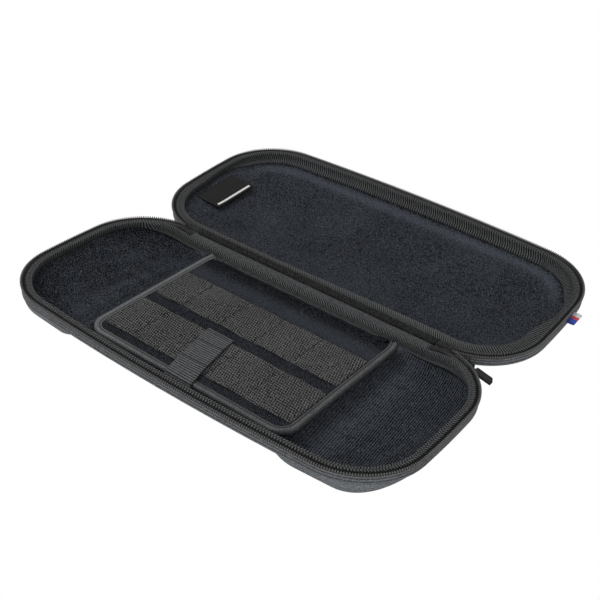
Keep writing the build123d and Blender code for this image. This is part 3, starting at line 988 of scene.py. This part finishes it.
def card_band(name, node, y, width):
    """Elastic sewn down into five pockets, with its front edge standing off the flap."""
    left, right = FLAP_LEFT + 4.6, FLAP_RIGHT - 4.6
    front = y - BAND_W / 2
    gx, gt = np.meshgrid(np.linspace(left, right, 151), np.linspace(0, 1, 40), indexing="ij")
    off = np.min([np.abs(gx - at) for at in (left, *POCKET_SEAMS, right)], axis=0)
    slack = ease(off / 8)
    bulge = (0.8 * slack + 0.5 * waves(spread(gx, y), 40, 43)) * (1 - gt) ** 2
    gy = front + gt * width - bulge
    crown = np.sin(np.clip(gt * 1.15, 0, 1) * math.pi) ** 0.7
    lift = 0.3 + 0.55 * slack * (0.45 + 0.55 * crown) + 0.5 * slack * np.exp(-(gt / 0.09) ** 2)
    lift += 0.05 * waves(spread(gx, gy), 13, 41)
    ends = np.minimum(gx - left, right - gx)
    lift *= 0.35 + 0.65 * ease(ends / 5)
    lift -= 0.15 * np.exp(-(off / 0.7) ** 2) * (ends > 4)
    upper = spread(gx, gy, FLAP_TOP + 0.22 + np.clip(lift, 0.05, None))
    build = Build()
    build.slab(upper, spread(gx, gy, FLAP_TOP + 0.1), spread(gx, gt * width))
    build.piece(name, MATERIAL["band"], "flap", "elastic_band", (node,))
    seams = Build()
    rear, high = front + width - 1.2, FLAP_TOP + 0.55
    for a in np.arange(left + 1.5, right - 3, 2.6):
        stitch(seams, (a, rear, high), (a + 1.8, rear, high), 0.24)
    seams.piece(f"{name}_seams", MATERIAL["thread"], "flap", "elastic_band")


def tab_middle(y):
    """X of the ribbon tab's middle, which runs askew."""
    return -4.0 + 9.2 * np.clip((-12 - y) / 46, 0, 1)


def pull_tab():
    """Ribbon lying askew on the front band and folded down over the flap's front edge."""
    side = rounded(TAB_LINE, 0.9)
    t = along(side)
    across = np.linspace(-TAB_HALF, TAB_HALF, 21)
    d = np.gradient(side, axis=0)
    normal = np.stack((d[:, 1], -d[:, 0]), -1) / np.linalg.norm(d, axis=1)[:, None]
    free = ease((t - 4) / 9) * ease((44 - t) / 8)
    curl = (0.2 * (across / TAB_HALF) ** 2 + 0.04 * (across + TAB_HALF)) * free[:, None]
    sheets = []
    for off in (0.42, -0.42):
        line = side + normal * off
        sheets.append(spread(tab_middle(side[:, :1]) + across, line[:, :1], line[:, 1:] + curl))
    build = Build()
    build.slab(*sheets, spread(t[:, None], across))
    build.piece("ribbon_tab", MATERIAL["tab"], "flap", "grosgrain_tab", ("pull_tab",))
    seams = Build()
    high = TAB_TOP + 0.75
    for at in (-12.2, -40.5):
        for a in tab_middle(at) + np.arange(-9.2, 7.5, 2.5):
            stitch(seams, (a, at, high), (a + 1.7, at, high), 0.26)
    seams.piece("ribbon_tab_seams", MATERIAL["thread"], "flap", "grosgrain_tab")


def flap_hinge():
    """Fleece that runs from the flap's rear edge to the back wall."""
    x = np.linspace(FLAP_LEFT + 9, FLAP_RIGHT - 9, 80)
    loop = thicken(rounded(FLAP_FOLD, 0.6), 0.6)
    points = spread(x[:, None], loop[:, 0], loop[:, 1])
    points[..., 2] += 0.12 * waves(points[..., :1], 24, 51) - 0.1
    build = Build()
    build.grid(points, caps=True)
    cloth = build.piece(
        "flap_hinge_cloth", MATERIAL["shaded_flap_fleece"], None, "lining_fleece", ("flap_hinge_strip",),
    )
    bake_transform(cloth)


def card_flap():
    """The flap's faces, edges, bands, ribbon tab and hinge."""
    flap_sheet("flap_top_fleece", "flap_top_cover", FLAP_TOP, 1)
    flap_sheet("flap_bottom_fleece", "flap_bottom_cover", FLAP_LOW, -1)
    flap_binding()
    card_band("card_band_near", "card_band_front", FRONT_BAND, BAND_W)
    card_band("card_band_far", "card_band_rear", REAR_BAND, REAR_BAND_W)
    pull_tab()
    flap_hinge()


# Label, tag, slider and pull

def lid_label():
    """Woven label sewn in at the lid's left end, its free edge curling up."""
    height = caster("lid_lining", True)
    length, across = np.linspace(0, LABEL_LENGTH, 40), np.linspace(0, LABEL_WIDTH, 24)
    gl, ga = np.meshgrid(length, across, indexing="ij")
    x, y = -137.2 + ga, 28.0 - gl
    floor = np.array([[height(a, b) for a, b in zip(*line)] for line in zip(x, y)])
    share = ga / LABEL_WIDTH
    curl = 2.6 * ease(share) ** 1.5 + 0.35 * np.sin(gl / LABEL_LENGTH * math.pi) * share
    sheets = [spread(x, y, floor + 0.5 + curl + off) for off in (0.28, -0.28)]
    build = Build()
    build.slab(*sheets, spread(gl, ga))
    build.piece("woven_label", MATERIAL["label"], "lid", "woven_label", ("lid_label",), True)


# X and Z round the striped tag's fold
TAG_FOLD = (
    (149.4, -4.25), (152.5, -4.2), (154.6, -4.25), (155.2, -4.7), (154.6, -5.15), (152.5, -5.2), (149.4, -5.15),
)


def stripe_tag():
    """Folded ribbon standing out of the lid's right end."""
    loop = thicken(rounded(TAG_FOLD, 0.35), 0.32)
    y = np.linspace(-17.4, -5.6, 14)[:, None]
    build = Build()
    build.grid(spread(loop[:, 0], y, loop[:, 1]), spread(-5.6 - y, along(loop)), caps=True)
    build.piece("striped_tag", MATERIAL["ribbon"], "lid", "striped_ribbon", ("stripe_tag",), True)


def softened(name, node, width, material, body):
    """A piece like a solid, with its edges rounded."""
    mesh = nodes[node].data.copy()
    mesh.name = name
    bm = bmesh.new()
    bm.from_mesh(mesh)
    bmesh.ops.remove_doubles(bm, verts=bm.verts, dist=1e-6)
    bmesh.ops.dissolve_limit(bm, angle_limit=0.02, verts=bm.verts, edges=bm.edges)
    sharp = [e for e in bm.edges if len(e.link_faces) == 2 and e.calc_face_angle() > 0.7]
    bmesh.ops.bevel(
        bm, geom=sharp, offset=width / 1000, segments=3, profile=0.5, affect="EDGES", clamp_overlap=True,
        material=-1,
    )
    bm.to_mesh(mesh)
    bm.free()
    mesh.materials.clear()
    shown(name, mesh, material, body, (node,))


# The pull's strap from the pin: start, tip, half width and half thickness, then its droop and the tip's slant
STRAP_START, STRAP_TIP, STRAP_HALF, STRAP_THICK = 2.9, 15.9, 2.9, 1.0
STRAP_DROOP, STRAP_SLANT = math.radians(13), math.radians(30)


def pull_strap():
    """Strap of the pull, with rounded edges and a slanting tip."""
    across = np.linspace(-STRAP_HALF, STRAP_HALF, 25)
    t = np.concatenate((np.linspace(0, 0.06, 5), np.linspace(0.12, 0.88, 16), np.linspace(0.94, 1, 5)))[:, None]
    sides = np.sqrt(1 - np.clip((np.abs(across) - 2.2) / 0.75, 0, 0.96) ** 2)
    ends = np.sqrt(1 - np.clip((np.abs(t - 0.5) - 0.44) / 0.062, 0, 0.96) ** 2)
    tip = STRAP_TIP - np.clip(across, 0, None) * math.tan(STRAP_SLANT)
    x = STRAP_START + (tip - STRAP_START) * t
    thick = STRAP_THICK * ends * sides
    cos, sin = math.cos(STRAP_DROOP), math.sin(STRAP_DROOP)
    sheets = [PULL_PIN + spread(x * cos + z * sin, across, z * cos - x * sin) for z in (thick, -thick)]
    build = Build()
    build.slab(*sheets, spread(x, across))
    build.piece("pull_strap", MATERIAL["pull"], "pull", "pull_rubber")


def zip_end():
    """Joined ends of the tapes beside the hinge, with the slider parked on them."""
    x = np.linspace(RELIEF_HALF + 0.1, RELIEF_HALF + 22.3, 30)
    gx, gz = np.meshgrid(x, np.linspace(-10.9, -5.6, 12), indexing="ij")
    sheets = [spread(gx, HINGE_Y + off, gz) for off in (0.65, -0.65)]
    build = Build()
    build.slab(*sheets, spread((gx + gz) / 2, gz))
    build.piece("zip_tape_end", MATERIAL["tail"], "base", "zip_tape", ("zip_tail",))
    softened("slider_body", "zip_slider", 0.4, MATERIAL["enamel"], "base")
    softened("pull_eye", "zip_pull", 0.35, MATERIAL["pull"], "pull")
    pull_strap()


def dress_solids():
    """Materials of the solids that show as they are."""
    for node in ("base_shell", "lid_shell", "flap_board"):
        nodes[node].material_slots[0].material = MATERIAL[node]


# Room, light and camera

def seen_white(tree, kind, lit, output):
    """Lets the camera see plain white where the light meets the lit shader."""
    white = add_node(tree, kind, {}, {"Color": WHITE})
    path = add_node(tree, "LightPath", {}, {})
    inputs = {0: path.outputs["Is Camera Ray"], 1: lit.outputs[0], 2: white.outputs[0]}
    mix = add_node(tree, "MixShader", {}, inputs)
    tree.links.new(mix.outputs[0], tree.nodes[output].inputs["Surface"])


def pale_floor():
    """Pale floor just under the case."""
    reach, low = 4, -0.0005
    mesh = bpy.data.meshes.new("floor")
    bm = bmesh.new()
    bmesh.ops.create_grid(bm, x_segments=1, y_segments=1, size=reach, matrix=Matrix.Translation((0, 0, low)))
    bm.to_mesh(mesh)
    bm.free()
    material = bpy.data.materials.new("pale_floor")
    material.use_nodes = True
    tree = material.node_tree
    shader = tree.nodes["Principled BSDF"]
    shader.inputs["Base Color"].default_value = (0.8, 0.8, 0.8, 1)
    shader.inputs["Roughness"].default_value = 0.9
    seen_white(tree, "Emission", shader, "Material Output")
    mesh.materials.append(material)
    floor = bpy.data.objects.new("floor", mesh)
    bpy.context.scene.collection.objects.link(floor)


def room():
    """Soft light from all round."""
    world = bpy.data.worlds.new("room")
    world.use_nodes = True
    tree = world.node_tree
    back = tree.nodes["Background"]
    back.inputs["Color"].default_value = WHITE
    back.inputs["Strength"].default_value = 0.3
    seen_white(tree, "Background", back, "World Output")
    bpy.context.scene.world = world
    bpy.context.scene.view_settings.view_transform = "Standard"


def lamp(name, place, size, power):
    """A round soft lamp that points at the case."""
    light = bpy.data.lights.new(name, "AREA")
    light.shape = "DISK"
    light.size = size
    light.energy = power
    lamp_object = bpy.data.objects.new(name, light)
    lamp_object.location = place
    lamp_object.rotation_mode = "QUATERNION"
    lamp_object.rotation_quaternion = (-Vector(place)).to_track_quat("-Z", "Y")
    bpy.context.scene.collection.objects.link(lamp_object)


def lights():
    lamp("key", (-0.9, -0.2, 1.5), 0.9, 16)
    lamp("fill", (1.1, -1.3, 0.9), 1.2, 8)
    lamp("back", (0.2, 1.5, 1.1), 1.0, 4)


def camera():
    """Camera at the photo's place, with its slight roll."""
    azimuth, height, roll = (math.radians(a) for a in (35.0, 33.67, 4.55))
    distance, aside, above = 619.1, 38.1, 15.2
    focal_pixels, picture_pixels, sensor = 1016.3, 600, 36
    flat = math.cos(height)
    back = Vector((math.sin(azimuth) * flat, -math.cos(azimuth) * flat, math.sin(height)))
    level = Vector((0, 0, 1)).cross(back).normalized()
    upright = back.cross(level)
    right = level * math.cos(roll) + upright * math.sin(roll)
    up = upright * math.cos(roll) - level * math.sin(roll)
    place = back * distance + right * aside + up * above
    data = bpy.data.cameras.new("camera")
    data.sensor_fit = "HORIZONTAL"
    data.sensor_width = sensor
    data.lens = focal_pixels * sensor / picture_pixels
    data.clip_start = 0.01
    view = bpy.data.objects.new("camera", data)
    matrix = Matrix((right, up, back)).transposed().to_4x4()
    matrix.translation = Vector(row(place))
    view.matrix_world = matrix
    bpy.context.scene.collection.objects.link(view)
    bpy.context.scene.camera = view


rims()
hinge_cloth()
card_flap()
lid_label()
stripe_tag()
zip_end()
dress_solids()
pale_floor()
room()
lights()
camera()

bpy.context.view_layer.update()
